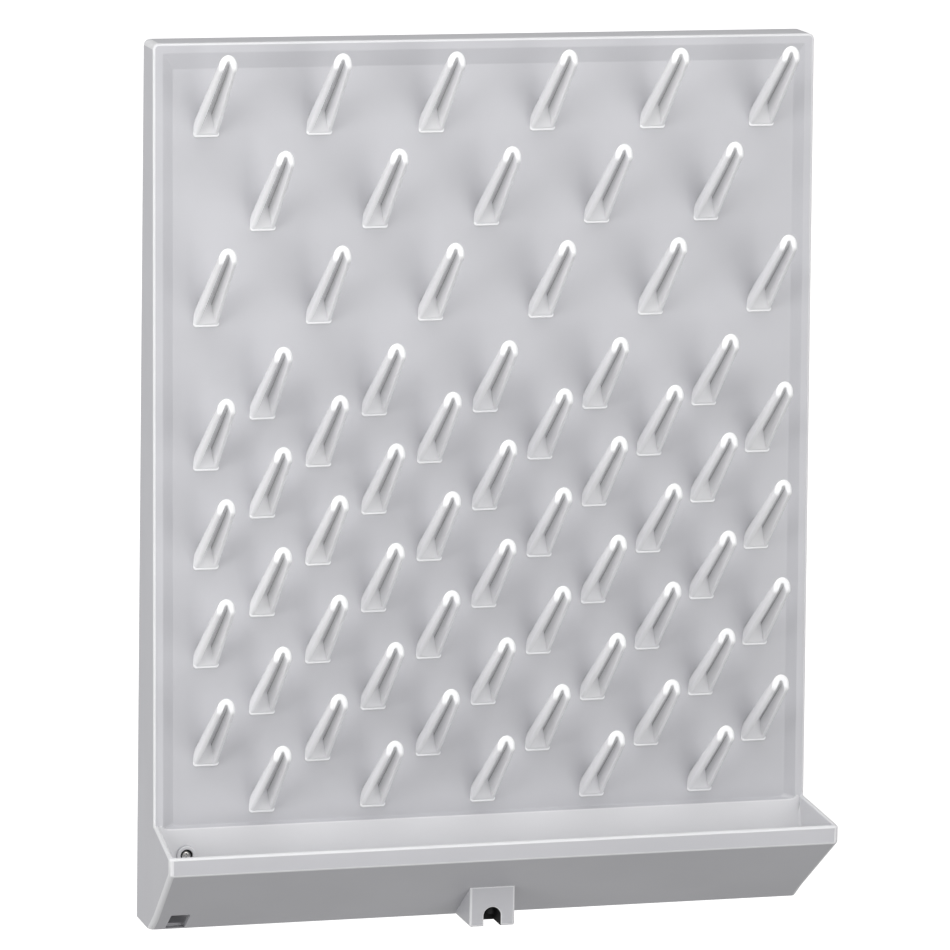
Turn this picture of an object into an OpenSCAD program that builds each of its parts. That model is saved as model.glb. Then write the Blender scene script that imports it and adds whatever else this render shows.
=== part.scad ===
// Wall-mounted drying pegboard rack: one moulded housing with a drip trough,
// sixty-six plug-in pegs in twelve staggered rows, and one fixing screw.
// Millimetres. X runs right, +Y into the wall (the wall is y = 0), Z up. Heights
// are measured from the housing's lower edge. The finished pieces are then moved
// down, so that the origin lies on the wall, midway between the two keyholes.

/* [Housing] */
// Width of the housing
housing_w = 450; // [430:5:500]
// Height of the housing
housing_h = 587; // [575:1:620]
// Depth of the housing at its top edge
top_depth = 27; // [24:0.5:34]
// Lean of the board back towards the wall, in degrees
lean_deg = 2.3; // [1.5:0.1:3.5]
// Thickness of the moulded walls
wall = 3.2; // [2.6:0.1:3.6]
// Radius of the two upper outer corners
corner_r = 4; // [2:0.5:8]

/* [Frame round the board] */
// Width of the flat band
band_w = 6.5; // [5:0.5:8]
// Width of the bevel at each side of the board
side_bevel = 7; // [4:0.5:9]
// Width of the bevel above the board
top_bevel = 10.5; // [6:0.5:13]
// Depth of the board below the band
recess = 2.5; // [1.5:0.1:3.2]

/* [Trough] */
// Depth from the wall to the front of the lip
lip_depth = 110.5; // [100:0.5:120]
// Height of the top of the lip
lip_top_z = 66; // [60:0.5:68]
// Height of the upright face of the lip
lip_h = 12; // [9:0.5:15]
// Depth of the underside at its lowest edge
skirt_depth = 37; // [32:0.5:40]
// Height at which the end walls leave the frame
rim_z = 73; // [70:0.5:76]
// Height of the board's lower edge
board_foot_z = 71; // [70:0.5:73]
// Chamfer between the board and the back of the trough
foot_chamfer = 2; // [1:0.1:2.4]
// Slant of the trough's back wall from the upright, in degrees
back_slant_deg = 14; // [10:0.5:18]
// Radius along the bottom of the trough
gutter_r = 7; // [4:0.5:9]
// Outward flare of each end of the trough at the lip
end_flare = 4; // [0:0.5:6]

/* [Drain] */
// Width of the drain block
drain_w = 31; // [27:0.5:36]
// Depth from the wall to the front of the drain block
drain_depth = 74; // [70:0.5:78]
// Width of the arch through the drain block
arch_w = 12; // [11:0.5:14]
// Height of the arch
arch_h = 13; // [12:0.5:14]
// Length of the arch, front to back
arch_len = 18; // [17:0.5:20]
// Bore of the drain spigot
spigot_bore = 5; // [4:0.5:5.5]
// Wall of the drain spigot
spigot_wall = 1.2; // [0.8:0.1:1.5]
// Length of the spigot below the roof of the arch
spigot_len = 6; // [4:0.5:8]

/* [Hose notch] */
// Width of the hose notch
notch_w = 13.2; // [10:0.2:15]
// Height of the hose notch's upper edge
notch_top_z = 14; // [12:0.5:15]
// Height of the sill under the hose notch
notch_sill_z = 1.2; // [0.8:0.1:2]
// Distance from the end of the housing to the hose notch
notch_inset = 10.5; // [9:0.5:12]

/* [Pegs] */
// Pegs in a full row
full_row = 6; // [4:1:6]
// Distance between the pegs of a row
column_pitch = 75.7; // [74:0.1:76.5]
// Height of the lowest row above the board's lower edge
first_row_up = 7.8; // [6:0.2:9]
// Distance between the close rows
row_pitch = 32.7; // [32:0.1:33.5]
// Distance between the wide rows at the top
wide_pitch = 62; // [60:0.2:62.6]
// Reach of a peg out from the board
peg_reach = 58; // [50:0.5:62]
// Extra reach of the pegs in the wide rows
long_peg_extra = 4; // [0:0.5:6]
// Slope of a peg's underside, in degrees
peg_rise_deg = 37.5; // [34:0.5:42]
// Width of a peg at the board
peg_root_w = 16.6; // [15:0.2:18]
// Width of a peg at its tip
peg_tip_w = 12.1; // [11:0.1:14]
// Height of a peg's arch centre above its underside, at the board
root_leg = 6.7; // [6:0.1:8]
// Height of a peg's arch centre above its underside, at the tip
tip_leg = 3.7; // [3:0.1:5]
// Width of a peg's groove at the board
groove_root_w = 10.6; // [9:0.1:11.4]
// Width of a peg's groove at its tip
groove_tip_w = 4.6; // [3.6:0.1:5.4]
// Height of the groove's arch centre above the peg's own
groove_lift = 1.2; // [0.6:0.1:1.6]
// Thickness of a peg's foot at its lower edge
foot_wall = 1.8; // [1.4:0.1:2.4]
// Slope of the ramp that closes the groove, in degrees
ramp_deg = 64; // [58:1:70]

/* [Sockets] */
// Width of a peg's tenon
tenon_w = 9.6; // [8.6:0.1:10.2]
// Height of a peg's tenon
tenon_h = 10; // [9:0.1:10.6]
// Height of a tenon's underside above the foot of its peg
tenon_up = 3.2; // [2.8:0.1:3.6]
// Slit that lets the tenon spring
slit_w = 2; // [1.4:0.1:2.6]
// Height of the bead that holds the tenon
bead_h = 0.7; // [0.4:0.1:0.9]
// Length of the bead that holds the tenon
bead_len = 2; // [1.4:0.1:2.4]
// Clearance between tenon and socket, all round
socket_gap = 0.2; // [0.15:0.01:0.3]
// Wall of the sleeve behind the board
sleeve_wall = 1.8; // [1.4:0.1:2.2]
// Length of the sleeve behind the board
sleeve_len = 9; // [7:0.5:10]

/* [Wall fixing] */
// Distance from the side of the housing to the screw
screw_inset = 21; // [20:0.5:23]
// Height of the screw
screw_z = 53.5; // [52:0.5:55]
// Outer diameter of the collar round the screw
collar_d = 13; // [12:0.2:14]
// Reach of the collar out of the trough's back wall
collar_reach = 3.4; // [2.4:0.2:5]
// Diameter of the collar's countersunk pocket
pocket_d = 8.2; // [7.8:0.1:9]
// Depth of the collar's pocket
pocket_depth = 5; // [4:0.2:6]
// Diameter of the screw's shank
screw_d = 3.5; // [3:0.1:4]
// Diameter of the screw's head
head_d = 6.6; // [6:0.1:7.2]
// Height of the screw's head
head_h = 2.4; // [2:0.1:2.8]
// Length of the screw past the wall line
screw_bite = 24; // [18:1:32]
// Clearance between the screw and its hole, on the radius
screw_gap = 0.4; // [0.3:0.05:0.6]
// Distance from the middle to each keyhole
keyhole_x = 150; // [140:1:160]
// Diameter of a keyhole's entry
keyhole_d = 10; // [9:0.5:11]
// Width of a keyhole's slot
keyslot_w = 5; // [4:0.1:5.5]
// Length of a keyhole's slot
keyslot_len = 10; // [8:0.5:12]
// Margin of a hanger plate round its keyhole
hanger_margin = 7; // [5:0.5:9]

/* [Stiffeners] */
// Thickness of the ribs behind the board
rib_t = 2.4; // [1.8:0.1:3]
// Height of the ribs behind the board
rib_h = 8; // [6:0.5:10]

/* [Hidden] */
$fn = 48;
eps = 0.01;
past = 1;                                    // how far a cut runs past a face
rows = 12;
wide_rows = 3;                               // rows at the top that are set wide apart
half_w = housing_w / 2;
lip_low_z = lip_top_z - lip_h;

// The faces that lean: the front of the frame and the board behind it.
function front_y(z) = -top_depth - (housing_h - z) * tan(lean_deg);
function board_y(z) = front_y(z) + recess / cos(lean_deg);
board_foot_y = board_y(board_foot_z);
board_len = (housing_h - board_foot_z) / cos(lean_deg);

// Directions in the side view, where a point is [y, z].
lean_dir = [sin(lean_deg), cos(lean_deg)];
back_dir = [sin(back_slant_deg), cos(back_slant_deg)];
skirt_deg = atan(lip_low_z / (lip_depth - skirt_depth));
skirt_dir = [-cos(skirt_deg), sin(skirt_deg)];
function meet(p, u, q, v) = p + u * cross(q - p, v) / cross(u, v);

// The trough's section: its back wall, its sloping front wall and the gutter.
foot = [board_foot_y, board_foot_z];
back_top = foot - [foot_chamfer, foot_chamfer];
skirt_in = [-skirt_depth, wall / cos(skirt_deg)];
gutter_v = meet(back_top, back_dir, skirt_in, skirt_dir);
gutter_deg = 90 - skirt_deg + back_slant_deg;
gutter_run = gutter_r / tan(gutter_deg / 2);
gutter_bisector = (back_dir + skirt_dir) / norm(back_dir + skirt_dir);
gutter_c = gutter_v + gutter_bisector * gutter_r / sin(gutter_deg / 2);
lip_in_y = wall - lip_depth;
skirt_at_lip = meet([lip_in_y, 0], [0, 1], skirt_in, skirt_dir);

// The hollow behind the board and the trough.
back_off = back_top + wall * [cos(back_slant_deg), -sin(back_slant_deg)];
board_off = foot + wall * [cos(lean_deg), -sin(lean_deg)];
hollow_knee = meet(back_off, back_dir, board_off, lean_dir);
hollow_low = meet(back_off, back_dir, skirt_in, skirt_dir);
hollow_sill = meet([0, wall], [1, 0], skirt_in, skirt_dir);
hollow_top = meet([0, housing_h - wall], [1, 0], board_off, lean_dir);

// The web under the screw's tube ends inside the trough's walls.
web_off = (back_top + back_off) / 2;
web_low = meet(web_off, back_dir, skirt_in, skirt_dir);

// The screw and its collar.
screw_x = screw_inset - half_w;
collar_y = meet([0, screw_z], [1, 0], back_top, back_dir)[0] - collar_reach;
seat_y = collar_y + pocket_depth;
hole_r = screw_d / 2 + screw_gap;

// The drain.
drain_y = -drain_depth + arch_len / 2;
drain_top_z = (drain_depth - skirt_depth) * tan(skirt_deg);

// The hanger plates and their keyholes.
hanger_w = keyhole_d + 2 * hanger_margin;
hanger_h = keyhole_d + keyslot_len + 2 * hanger_margin;
hanger_z = housing_h - wall - hanger_h;
keyhole_z = hanger_z + hanger_margin + keyhole_d / 2;

sleeve_end = wall + sleeve_len;              // from the board's face

// Rows count from the top. Even rows by index are full, the others hold one less.
function row_count(row) = row % 2 == 0 ? full_row : full_row - 1;
function row_up(row) = first_row_up
    + min(rows - 1 - row, rows - 1 - wide_rows) * row_pitch
    + max(wide_rows - row, 0) * wide_pitch;
function peg_x(row, i) = (i - (row_count(row) - 1) / 2) * column_pitch;
function reach(row) = row < wide_rows ? peg_reach + long_peg_extra : peg_reach;

// Moves a finished piece so that the origin is midway between the keyholes.
module hung() {
    translate([0, 0, -keyhole_z]) children();
}

// Puts a side view drawn as [y, z] across the housing, centred on x = 0.
module across(width) {
    rotate([90, 0, 90])
        translate([0, 0, -width / 2])
            linear_extrude(width) children();
}

// Moves to the lower edge of the board: x right, y into the wall, z up the board.
module on_board() {
    translate([0, board_foot_y, board_foot_z])
        rotate([-lean_deg, 0, 0]) children();
}

module side_view() {
    polygon([[0, 0], [-skirt_depth, 0], [-lip_depth, lip_low_z], [-lip_depth, lip_top_z],
        [front_y(rim_z), rim_z], [-top_depth, housing_h], [0, housing_h]]);
}

// Plan of the housing; inset draws the inside of its end walls.
module plan(inset, back) {
    straight = half_w - inset;
    flared = straight + end_flare;
    flare_y = front_y(rim_z);
    polygon([[-straight, back], [-straight, flare_y], [-flared, -lip_depth],
        [flared, -lip_depth], [straight, flare_y], [straight, back]]);
}

module front_view() {
    reach_x = half_w + end_flare + past;
    translate([-reach_x, 0]) square([2 * reach_x, housing_h - corner_r]);
    translate([corner_r - half_w, 0]) square([housing_w - 2 * corner_r, housing_h]);
    for (side = [-1, 1])
        translate([side * (half_w - corner_r), housing_h - corner_r]) circle(corner_r);
}

module outer_form() {
    intersection() {
        across(housing_w + 2 * end_flare + past) side_view();
        linear_extrude(housing_h) plan(0, 0);
        translate([0, past, 0]) rotate([90, 0, 0])
            linear_extrude(lip_depth + 2 * past) front_view();
    }
}

// The pocket in which the board lies, with its bevels at the sides and the top.
module board_pocket() {
    outer_x = half_w - band_w;
    inner_x = outer_x - side_bevel;
    outer_z = board_len - band_w;
    inner_z = outer_z - top_bevel;
    on_board() intersection() {
        linear_extrude(board_len)
            polygon([[-inner_x, 0], [inner_x, 0], [outer_x, -recess], [outer_x, -recess - past],
                [-outer_x, -recess - past], [-outer_x, -recess]]);
        across(housing_w)
            polygon([[0, 0], [0, inner_z], [-recess, outer_z], [-recess - past, outer_z],
                [-recess - past, 0]]);
    }
}

module trough_section() {
    polygon([[front_y(rim_z), rim_z], foot, back_top, gutter_v + gutter_run * back_dir,
        gutter_v + gutter_run * skirt_dir, skirt_at_lip, [lip_in_y, rim_z + lip_h]]);
    translate(gutter_c) circle(gutter_r);
}

module trough_hollow() {
    intersection() {
        across(housing_w + 2 * end_flare) trough_section();
        linear_extrude(housing_h) plan(wall, 0);
    }
}

// The open hollow behind the board, which leaves the walls of the moulding.
module back_hollow() {
    intersection() {
        across(housing_w) difference() {
            polygon([[past, wall], hollow_sill, hollow_low, hollow_knee, hollow_top,
                [past, housing_h - wall]]);
            translate(gutter_c) circle(gutter_r + wall);
        }
        linear_extrude(housing_h) plan(wall, past);
    }
}

module at_pegs(row) {
    for (i = [0 : row_count(row) - 1])
        on_board() translate([peg_x(row, i), 0, row_up(row)]) children();
}

// A block as wide and high as the tenon with room all round it, from y1 to y2.
module tenon_block(room, y1, y2) {
    translate([-tenon_w / 2 - room, y1, tenon_up - room])
        cube([tenon_w + 2 * room, y2 - y1, tenon_h + 2 * room]);
}

module sleeves() {
    for (row = [0 : rows - 1])
        at_pegs(row) tenon_block(socket_gap + sleeve_wall, wall / 2, sleeve_end);
}

module sockets() {
    for (row = [0 : rows - 1])
        at_pegs(row) tenon_block(socket_gap, -past, sleeve_end + past);
}

// Upright ribs behind the board, midway between two columns of pegs.
module board_ribs() {
    rib_top = board_len - top_bevel;
    for (side = [-1, 1])
        on_board() translate([side * column_pitch * 1.25 - rib_t / 2, wall / 2, first_row_up])
            cube([rib_t, wall / 2 + rib_h, rib_top - first_row_up]);
}

// A plate level with the wall, hung from the top wall, with a keyhole in it.
module hanger(side) {
    translate([side * keyhole_x, 0, 0]) difference() {
        translate([-hanger_w / 2, -wall, hanger_z])
            cube([hanger_w, wall, hanger_h + wall / 2]);
        translate([0, past, keyhole_z]) rotate([90, 0, 0]) {
            cylinder(d = keyhole_d, h = wall + 2 * past);
            translate([-keyslot_w / 2, 0, 0])
                cube([keyslot_w, keyslot_len, wall + 2 * past]);
            translate([0, keyslot_len, 0]) cylinder(d = keyslot_w, h = wall + 2 * past);
        }
    }
}

// The tube that carries the screw from the trough to the wall, and its web.
module screw_tube() {
    translate([screw_x, 0, screw_z]) rotate([90, 0, 0]) cylinder(d = collar_d, h = -collar_y);
    intersection() {
        translate([screw_x - rib_t / 2, skirt_in[0] - lip_depth, wall / 2])
            cube([rib_t, lip_depth + skirt_depth, screw_z - wall / 2]);
        across(housing_w) polygon([[0, 0], [-skirt_depth, 0], web_low, web_off, [0, web_off[1]]]);
    }
}

module screw_hole() {
    translate([screw_x, past, screw_z]) rotate([90, 0, 0])
        cylinder(r = hole_r, h = lip_depth);
    translate([screw_x, seat_y, screw_z]) rotate([90, 0, 0])
        cylinder(d = pocket_d, h = lip_depth);
}

module drain_block() {
    across(drain_w)
        polygon([[-skirt_depth, 0], [-drain_depth, 0], [-drain_depth, drain_top_z + eps],
            skirt_in]);
}

module drain_arch() {
    translate([0, -drain_depth + arch_len, 0]) rotate([90, 0, 0]) linear_extrude(arch_len + past) {
        translate([-arch_w / 2, -past]) square([arch_w, arch_h - arch_w / 2 + past]);
        translate([0, arch_h - arch_w / 2]) circle(d = arch_w);
    }
    // The flat-roofed well that leaves room for the hose round the spigot.
    translate([0, drain_y, -past]) cylinder(d = arch_w, h = arch_h + past);
}

module spigot() {
    translate([0, drain_y, arch_h - spigot_len])
        cylinder(d = spigot_bore + 2 * spigot_wall, h = spigot_len + wall);
}

module spigot_hole() {
    translate([0, drain_y, -past]) cylinder(d = spigot_bore, h = gutter_c[1] + past);
}

module hose_notch() {
    translate([notch_inset - half_w, -lip_depth, notch_sill_z])
        cube([notch_w, lip_depth - skirt_depth + wall, notch_top_z - notch_sill_z]);
}

module housing() {
    color("#d8d8db") hung() difference() {
        union() {
            difference() {
                union() {
                    difference() {
                        outer_form();
                        back_hollow();
                    }
                    sleeves();
                    board_ribs();
                    screw_tube();
                    drain_block();
                }
                board_pocket();
                drain_arch();
                hose_notch();
            }
            spigot();
            for (side = [-1, 1]) hanger(side);
        }
        difference() {
            trough_hollow();
            translate([screw_x, 0, screw_z]) rotate([90, 0, 0])
                cylinder(d = collar_d, h = -collar_y);
        }
        sockets();
        screw_hole();
        spigot_hole();
    }
}

// A pan-head screw with a cross recess, seated in the collar's pocket.
module wall_screw() {
    tip_len = screw_d;
    dome_r = (head_d * head_d / 4 + head_h * head_h) / (2 * head_h);
    recess_w = head_d * 0.14;
    recess_l = head_d * 0.56;
    color("#a9a6a0") hung() translate([screw_x, seat_y, screw_z]) rotate([90, 0, 0]) {
        difference() {
            intersection() {
                cylinder(d = head_d, h = head_h);
                translate([0, 0, head_h - dome_r]) sphere(dome_r);
            }
            for (turn = [0, 90])
                rotate([0, 0, turn]) translate([-recess_l / 2, -recess_w / 2, head_h * 0.45])
                    cube([recess_l, recess_w, head_h]);
        }
        translate([0, 0, seat_y - screw_bite]) cylinder(d = screw_d, h = screw_bite - seat_y + eps);
        translate([0, 0, seat_y - screw_bite - tip_len])
            cylinder(d1 = screw_d * 0.1, d2 = screw_d, h = tip_len);
    }
}

// A tapered arch along the peg, open below: a cone over a wedge-shaped plan.
module tapered_arch(length, root_w, tip_w, root_z, tip_z) {
    slope = atan((tip_z - root_z) / length);
    run = length / cos(slope);
    spill = root_w;
    grow = (root_w - tip_w) / 2 / run * spill;
    translate([0, 0, root_z]) rotate([90 - slope, 0, 0]) translate([0, 0, -spill]) {
        cylinder(r1 = root_w / 2 + grow, r2 = tip_w / 2 - grow, h = run + 2 * spill);
        rotate([90, 0, 0]) linear_extrude(2 * root_w)
            polygon([[-root_w / 2 - grow, 0], [root_w / 2 + grow, 0],
                [tip_w / 2 - grow, run + 2 * spill], [grow - tip_w / 2, run + 2 * spill]]);
    }
}

// One peg, from the lower edge of its foot: a sloping arch with a groove below.
module peg(length) {
    tip_z = length * tan(peg_rise_deg);
    high = tip_z + peg_root_w + root_leg;
    difference() {
        intersection() {
            tapered_arch(length, peg_root_w, peg_tip_w, root_leg, tip_z + tip_leg);
            across(2 * peg_root_w)
                polygon([[0, 0], [-length, tip_z], [-length, high], [0, high]]);
        }
        intersection() {
            tapered_arch(length, groove_root_w, groove_tip_w, root_leg + groove_lift,
                tip_z + tip_leg + groove_lift);
            across(2 * peg_root_w)
                polygon([[-foot_wall, 0], [-length - past, 0], [-length - past, high],
                    [-foot_wall - high / tan(ramp_deg), high]]);
        }
    }
    tenon();
}

// The split tenon behind a peg's foot, with a bead that snaps behind its sleeve.
module tenon() {
    end_y = sleeve_end + socket_gap + bead_len;
    difference() {
        union() {
            tenon_block(0, -eps, end_y);
            across(tenon_w) polygon([
                [sleeve_end + socket_gap, tenon_up - bead_h], [end_y, tenon_up],
                [end_y, tenon_up + tenon_h], [sleeve_end + socket_gap, tenon_up + tenon_h + bead_h]]);
        }
        translate([-tenon_w, wall, tenon_up + (tenon_h - slit_w) / 2])
            cube([2 * tenon_w, end_y, slit_w]);
    }
}

module peg_row(row) {
    color("#ececef") hung() at_pegs(row) peg(reach(row));
}

housing();
wall_screw();
peg_row(0);  // peg_row_01
peg_row(1);  // peg_row_02
peg_row(2);  // peg_row_03
peg_row(3);  // peg_row_04
peg_row(4);  // peg_row_05
peg_row(5);  // peg_row_06
peg_row(6);  // peg_row_07
peg_row(7);  // peg_row_08
peg_row(8);  // peg_row_09
peg_row(9);  // peg_row_10
peg_row(10);  // peg_row_11
peg_row(11);  // peg_row_12
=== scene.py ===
import math

import bmesh
import bpy
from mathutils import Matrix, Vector


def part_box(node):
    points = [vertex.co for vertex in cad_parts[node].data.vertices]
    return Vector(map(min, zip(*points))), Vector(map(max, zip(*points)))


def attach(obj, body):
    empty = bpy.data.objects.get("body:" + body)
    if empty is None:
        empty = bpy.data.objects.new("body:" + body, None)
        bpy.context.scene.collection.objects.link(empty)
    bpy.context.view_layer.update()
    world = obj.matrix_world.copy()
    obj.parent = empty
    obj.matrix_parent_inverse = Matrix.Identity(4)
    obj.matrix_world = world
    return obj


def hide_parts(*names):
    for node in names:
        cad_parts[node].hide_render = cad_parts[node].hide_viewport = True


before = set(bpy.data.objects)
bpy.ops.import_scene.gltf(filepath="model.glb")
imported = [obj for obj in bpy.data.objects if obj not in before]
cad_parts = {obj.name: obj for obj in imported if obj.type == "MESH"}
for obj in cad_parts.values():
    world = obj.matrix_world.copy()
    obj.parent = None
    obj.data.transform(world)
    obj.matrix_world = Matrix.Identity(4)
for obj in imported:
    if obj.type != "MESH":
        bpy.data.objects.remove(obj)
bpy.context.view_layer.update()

# Sizes in millimetres, heights from the housing's lower edge, as on the maker's
# drawing. y = 0 is the wall, and each finished piece is lowered to the frame's z.
LOWER_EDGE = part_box("housing")[0].z * 1000

# The housing's outer form.
HALF_WIDTH, HEIGHT, TOP_DEPTH = 225, 587, 27
WALL = 3.2
LEAN = math.radians(2.3)
TOP_CORNER_R, END_CORNER_R = 4, 3.2
FRONT_EDGE_R, LIP_EDGE_R, SKIRT_EDGE_R = 1.5, 0.8, 1.2

# The board in its frame: the flat band, the bevels inside it and the board's foot.
BAND, SIDE_BEVEL, TOP_BEVEL = 6.5, 7, 10.5
RECESS = 2.5
FOOT_Z, FOOT_RISE, SILL_Z = 71, 0.8, 70.2
POCKET_CORNER_R, POCKET_EDGE_R = 2.5, 0.5

# The trough.
RIM_Z, RIM_EDGE_R = 73, 1.1
LIP_Y, LIP_TOP, LIP_LOW = -110.5, 66, 54
SKIRT_Y = -37
FLARE, FLARE_START = 4, 2.5
BACK_SLANT = math.radians(12.6)
GUTTER_R, TROUGH_CORNER_R = 7, 2.4

# The drain block with its arch, and the spigot on the roof of the arch.
DRAIN_HALF, DRAIN_Y, DRAIN_EDGE_R = 15.5, -74, 1.4
ARCH_W, ARCH_H, ARCH_LEN, ARCH_EDGE_R = 12, 13, 18, 0.7
SPIGOT_R, SPIGOT_WALL, SPIGOT_LEN, SPIGOT_ROOT, SPIGOT_EDGE_R = 3.7, 1.2, 6, 2, 0.3

# The hose notch.
NOTCH_LEFT, NOTCH_RIGHT, NOTCH_LOW, NOTCH_TOP = -214.5, -201.3, 1.2, 14
NOTCH_EDGE_R = 0.6

# The screw with the black ring round its head, and the tube and collar that carry it.
SCREW_X, SCREW_Z = -204, 53.5
COLLAR_R, POCKET_R, COLLAR_REACH, COLLAR_EDGE_R = 6.5, 4.1, 2.4, 0.6
SEAT_Y, BORE_R, BORE_LEN = -50.2, 2.15, 30
HEAD_R, HEAD_H, HEAD_CROWN = 2.95, 2.4, 1.7
CROSS_REACH, CROSS_HALF, CROSS_FLOOR, CROSS_TOP = 1.9, 0.42, 1, 4
CROSS_TAPER_X, CROSS_TAPER_Y = 0.5, 0.7
SHANK_R, SHANK_LEN, SHANK_OVERLAP = 1.3, 16.5, 0.5
THREAD_PITCH, THREAD_TURNS, THREAD_FLANK, THREAD_CREST = 1.5, 38, 0.42, 1.34
THREAD_POINT, THREAD_TIP = 3, 0.1
RING_GAP, RING_EDGE_R = 0.02, 0.6

# The web under the screw's tube, with the room cut out of it behind the hose notch.
WEB_HALF, WEB_FRONT = 1.2, -70
ROOM_LEFT, ROOM_RIGHT, ROOM_BACK, ROOM_TOP = -220, -200, -17, 18

# The ribs behind the board, placed in steps of the pegs' pitch, and the hangers.
RIB_HALF, RIB_DEEP, RIB_LOW, RIB_TOP = 1.2, 8, 7.8, 505.9
RIB_STEPS, RIB_EDGE_R = 1.25, 0.5
HANGER_HALF, HANGER_LOW, HANGER_CORNER_R = 12, 549.8, 3
KEYHOLE_X, KEYHOLE_Z, KEYHOLE_R = 150, 561.8, 5
KEYWAY_HALF, KEYWAY_RISE = 2.5, 12.5

# The rows of pegs: five or six to a row, further apart in the rows at the top.
ROWS, WIDE_ROWS, FULL_ROW = 12, 3, 6
PITCH, ROW_PITCH, WIDE_PITCH, FIRST_ROW_UP = 75.7, 32.7, 62, 7.8

# One peg: widths, and heights above its underside, at the board and at the tip.
PEG_LEN, LONG_PEG_LEN = 58, 62
PEG_ROOT, PEG_TIP, ROOT_LEG, TIP_LEG = 16.6, 12.1, 6.7, 3.7
PEG_RISE = math.radians(37.5)
PEG_EDGE_R, GROOVE_EDGE_R = 2, 0.6
FOOT_PLATE, FOOT_PROUD, FOOT_CORNER_R, FOOT_EDGE_R = 1.2, 0.5, 2.2, 0.7
# Its groove: the round top's width, the top's height, and the open edge's half width.
GROOVE_ROOT, GROOVE_TIP, GROOVE_DEEP = 3, 2.4, 10
GROOVE_ROOT_Z, GROOVE_TIP_Z = 8.2, 4.75
GROOVE_ROOT_OPEN, GROOVE_TIP_OPEN = 7.35, 6.3
FOOT_WALL, RAMP = 1.8, math.radians(64)
# Its tenon with two snap beads and a slit, and the sleeve that the tenon plugs into.
TENON_W, TENON_H, TENON_UP, TENON_ROOT = 9.6, 10, 3.2, 0.5
BEAD_Y, BEAD_LEN, BEAD_H, SLIT_HALF = 12.4, 2, 0.7, 1
SLEEVE_WALL, SLEEVE_END, SLEEVE_EDGE_R, SOCKET_GAP = 1.8, 12.2, 1, 0.2

# Where the finish paints highlights: the fillets' narrow faces, by their width and by the
# angles in degrees at which their long sides turn; and the strength of the painted light
# that makes the trough's inner faces paler.
EDGE_WIDTH, EDGE_TURN_LEAST, EDGE_TURN_MOST, LONG_SHARE = 1.1, 11, 40, 0.4
TROUGH_PAINTED_LIGHT = 0.7

# How far from a face or line a corner may lie to be picked with it, close or loosely,
# and how far a cutting form stands out of what it cuts.
NEAR, LOOSE = 0.1, 1
OUT = 1

ALONG_Y = (math.pi / 2, 0, 0)


def front_y(z):
    """How far out the front plane of the board's frame lies at that height."""
    return -TOP_DEPTH - (HEIGHT - z) * math.tan(LEAN)


def board_y(z):
    """How far out the board lies at that height."""
    return front_y(z) + RECESS / math.cos(LEAN)


# ---------------------------------------------------------------- modelling


def mm(*values):
    """Millimetres as Blender's metres."""
    return tuple(value * 0.001 for value in values)


def rest():
    """Back to object mode, with nothing selected."""
    if bpy.context.mode != "OBJECT":
        bpy.ops.object.mode_set(mode="OBJECT")
    bpy.ops.object.select_all(action="DESELECT")


def take(piece, *others):
    """Back to object mode, with these pieces selected and the first one active."""
    rest()
    for other in others:
        other.select_set(True)
    piece.select_set(True)
    bpy.context.view_layer.objects.active = piece


def edit(piece):
    """Opens a piece for editing."""
    take(piece)
    bpy.ops.object.mode_set(mode="EDIT")


def begin(name):
    """Names the new primitive, puts its place into its mesh and opens it for editing."""
    piece = bpy.context.object
    piece.name = piece.data.name = name
    bpy.ops.object.transform_apply(location=True, rotation=True, scale=True)
    bpy.ops.object.mode_set(mode="EDIT")
    return piece


def block(name, low, high):
    """A square block between two corners."""
    rest()
    bpy.ops.mesh.primitive_cube_add(
        size=1,
        location=mm(*[(a + b) / 2 for a, b in zip(low, high)]),
        scale=mm(*[b - a for a, b in zip(low, high)]),
    )
    return begin(name)


def rod(name, centre, radius, depth, turn=(0, 0, 0), sides=48, tip=None):
    """A rod, upright unless turned, that narrows to the radius at its tip, if given."""
    rest()
    bpy.ops.mesh.primitive_cone_add(
        vertices=sides,
        radius1=radius * 0.001,
        radius2=(radius if tip is None else tip) * 0.001,
        depth=depth * 0.001,
        location=mm(*centre),
        rotation=turn,
    )
    return begin(name)


def prism(name, outline, left, right):
    """A solid with that outline, seen from the side as (y, z), from left to right."""
    rest()
    bpy.ops.mesh.primitive_circle_add(vertices=len(outline), fill_type="NGON")
    piece = begin(name)
    work = bmesh.from_edit_mesh(piece.data)
    for corner, (y, z) in zip(work.verts, outline):
        corner.co = mm(left, y, z)
    bmesh.update_edit_mesh(piece.data)
    bpy.ops.mesh.select_all(action="SELECT")
    pull(x=right - left)
    bpy.ops.mesh.select_all(action="SELECT")
    bpy.ops.mesh.normals_make_consistent(inside=False)
    return piece


def choose(kind, where):
    """Selects the vertices, edges or faces whose corners all pass where(x, y, z)."""
    bpy.ops.mesh.select_mode(type=kind)
    bpy.ops.mesh.select_all(action="DESELECT")
    data = bpy.context.object.data
    work = bmesh.from_edit_mesh(data)
    parts = {"VERT": work.verts, "EDGE": work.edges, "FACE": work.faces}[kind]
    for part in parts:
        corners = [part] if kind == "VERT" else part.verts
        if all(where(*(c * 1000 for c in corner.co)) for corner in corners):
            part.select_set(True)
    bmesh.update_edit_mesh(data)


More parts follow.
